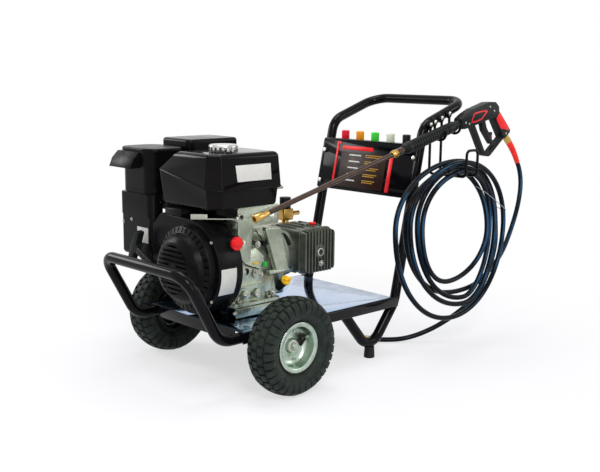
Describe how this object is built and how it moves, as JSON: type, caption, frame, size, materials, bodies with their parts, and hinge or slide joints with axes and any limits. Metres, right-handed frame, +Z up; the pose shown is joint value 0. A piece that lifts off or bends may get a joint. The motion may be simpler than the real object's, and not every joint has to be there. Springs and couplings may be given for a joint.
{
  "type": "pressure washer",
  "caption": "Petrol pressure washer on a two-wheeled tube cart: air-cooled engine, flange-mounted plunger pump, hung hose coil, spray gun with lance and nozzle shelf.",
  "frame": {"origin": "on the floor under the middle of the washer without its hose", "axes": "+X from the front guard to the push handle, +Y away from the gun side, +Z up"},
  "size_m": [1.3564, 0.697, 0.755],
  "materials": {
    "frame_paint": "gloss black powder coat",
    "rubber": "moulded rubber",
    "zinc_steel": "zinc-plated steel",
    "tyre": "block-tread rubber",
    "nylon": "plain nylon",
    "cast_aluminium": "die-cast, bead-blasted",
    "pump_casting": "grey die-cast with ribs",
    "engine_paint": "satin black paint",
    "black_plastic": "moulded black plastic",
    "red_plastic": "moulded red plastic",
    "yellow_plastic": "moulded yellow plastic",
    "chrome_cap": "bright plated",
    "brass": "turned brass",
    "lance_steel": "dark coated steel",
    "hose_rubber": "smooth black hose cover",
    "nozzle_red": "red nozzle guard",
    "nozzle_orange": "orange nozzle guard",
    "nozzle_green": "green nozzle guard",
    "nozzle_white": "white nozzle guard",
    "nozzle_black": "black nozzle guard"
  },
  "bodies": {
    "cart": {"handle_frame": "frame_paint", "front_guard": "frame_paint", "rear_feet": "rubber", "deck_tray": "frame_paint", "axle": "zinc_steel", "hub_bushes": "nylon", "engine_rails": "frame_paint", "crankcase": "cast_aluminium", "cylinder_head": "cast_aluminium", "valve_cover": "engine_paint", "crankcase_cover": "cast_aluminium", "blower_housing": "engine_paint", "recoil_cover": "engine_paint", "fuel_tank": "engine_paint", "control_bracket": "zinc_steel", "air_cleaner_base": "black_plastic", "air_cleaner_cover": "black_plastic", "carburettor": "cast_aluminium", "muffler": "zinc_steel", "muffler_guard": "engine_paint", "oil_fill_tube": "black_plastic", "pump_flange": "pump_casting", "pump_body": "pump_casting", "pump_cover": "pump_casting", "pump_manifold": "brass", "pump_inlet": "brass", "unloader_valve": "brass", "control_panel": "frame_paint", "lance_coupler": "brass", "lance_tube": "lance_steel", "lance_grip": "black_plastic", "gun_body": "black_plastic", "wire_hangers": "frame_paint", "fasteners": "zinc_steel", "hose_coil": "hose_rubber", "hose_gun_run": "hose_rubber", "hose_tail": "hose_rubber", "hose_fittings": "brass", "hose_sleeve": "red_plastic"},
    "wheel_near": {"near_tyre": "tyre", "near_rim": "zinc_steel"},
    "wheel_far": {"far_tyre": "tyre", "far_rim": "zinc_steel"},
    "crank": {"crankshaft": "zinc_steel", "flywheel": "cast_aluminium"},
    "rope_pulley": {"starter_pulley": "nylon"},
    "pull_grip": {"starter_grip": "black_plastic"},
    "tank_cap": {"fuel_cap": "chrome_cap"},
    "oil_cap": {"dipstick": "yellow_plastic"},
    "switch_knob": {"stop_switch": "red_plastic"},
    "throttle": {"throttle_lever": "zinc_steel"},
    "choke": {"choke_lever": "black_plastic"},
    "pressure_knob": {"unloader_knob": "black_plastic"},
    "trigger": {"gun_trigger": "black_plastic"},
    "latch": {"trigger_latch": "red_plastic"},
    "tip_red": {"nozzle_red": "nozzle_red"},
    "tip_orange": {"nozzle_orange": "nozzle_orange"},
    "tip_green": {"nozzle_green": "nozzle_green"},
    "tip_white": {"nozzle_white": "nozzle_white"},
    "tip_black": {"nozzle_black": "nozzle_black"}
  },
  "joints": [
    {"name": "near_wheel_spin", "type": "hinge", "parent": "cart", "child": "wheel_near", "pos_m": [-0.3407, -0.2695, 0.13], "axis": [0, 1, 0], "continuous": true},
    {"name": "far_wheel_spin", "type": "hinge", "parent": "cart", "child": "wheel_far", "pos_m": [-0.3407, 0.2665, 0.13], "axis": [0, 1, 0], "continuous": true},
    {"name": "crank_spin", "type": "hinge", "parent": "cart", "child": "crank", "pos_m": [-0.1807, 0.0105, 0.308], "axis": [1, 0, 0], "continuous": true},
    {"name": "starter_pull", "type": "slide", "parent": "cart", "child": "pull_grip", "axis": [0, 0.9003, 0.4352], "range_m": [0, 0.15], "stiffness_N_per_m": 60, "springref_m": -0.08},
    {"name": "starter_pulley_turn", "type": "hinge", "parent": "cart", "child": "rope_pulley", "pos_m": [-0.4852, 0.0105, 0.308], "axis": [1, 0, 0], "range_deg": [0, 132]},
    {"name": "fuel_cap_turn", "type": "hinge", "parent": "cart", "child": "tank_cap", "pos_m": [-0.3817, -0.0425, 0.618], "axis": [0, 0, 1], "range_deg": [0, 90]},
    {"name": "dipstick_turn", "type": "hinge", "parent": "cart", "child": "oil_cap", "pos_m": [-0.1997, -0.0879, 0.2488], "axis": [0, -0.8, 0.6], "range_deg": [0, 720]},
    {"name": "stop_switch_turn", "type": "hinge", "parent": "cart", "child": "switch_knob", "pos_m": [-0.3927, -0.1055, 0.382], "axis": [0, -1, 0], "range_deg": [0, 60]},
    {"name": "throttle_swing", "type": "hinge", "parent": "cart", "child": "throttle", "pos_m": [-0.3747, -0.0915, 0.441], "axis": [0, 0, 1], "range_deg": [-15, 15]},
    {"name": "choke_swing", "type": "hinge", "parent": "cart", "child": "choke", "pos_m": [-0.4147, 0.1965, 0.459], "axis": [1, 0, 0], "range_deg": [0, 40]},
    {"name": "pressure_knob_turn", "type": "hinge", "parent": "cart", "child": "pressure_knob", "pos_m": [-0.0302, 0.0995, 0.417], "axis": [0, 0, 1], "range_deg": [-360, 360]},
    {"name": "trigger_pull", "type": "hinge", "parent": "cart", "child": "trigger", "pos_m": [0.48745, -0.2298, 0.69351], "axis": [0, -1, 0], "range_deg": [0, 14], "stiffness_Nm_per_rad": 1, "springref_deg": -20.05},
    {"name": "latch_flip", "type": "hinge", "parent": "trigger", "child": "latch", "pos_m": [0.53727, -0.2298, 0.63816], "axis": [0, -1, 0], "range_deg": [0, 45]},
    {"name": "red_nozzle_lift", "type": "slide", "parent": "cart", "child": "tip_red", "axis": [0, 0, 1], "range_m": [0, 0.045]},
    {"name": "orange_nozzle_lift", "type": "slide", "parent": "cart", "child": "tip_orange", "axis": [0, 0, 1], "range_m": [0, 0.045]},
    {"name": "green_nozzle_lift", "type": "slide", "parent": "cart", "child": "tip_green", "axis": [0, 0, 1], "range_m": [0, 0.045]},
    {"name": "white_nozzle_lift", "type": "slide", "parent": "cart", "child": "tip_white", "axis": [0, 0, 1], "range_m": [0, 0.045]},
    {"name": "black_nozzle_lift", "type": "slide", "parent": "cart", "child": "tip_black", "axis": [0, 0, 1], "range_m": [0, 0.045]}
  ],
  "couplings": [
    {"joint": "starter_pulley_turn", "follows": "starter_pull", "rad_per_m": 15.152}
  ]
}
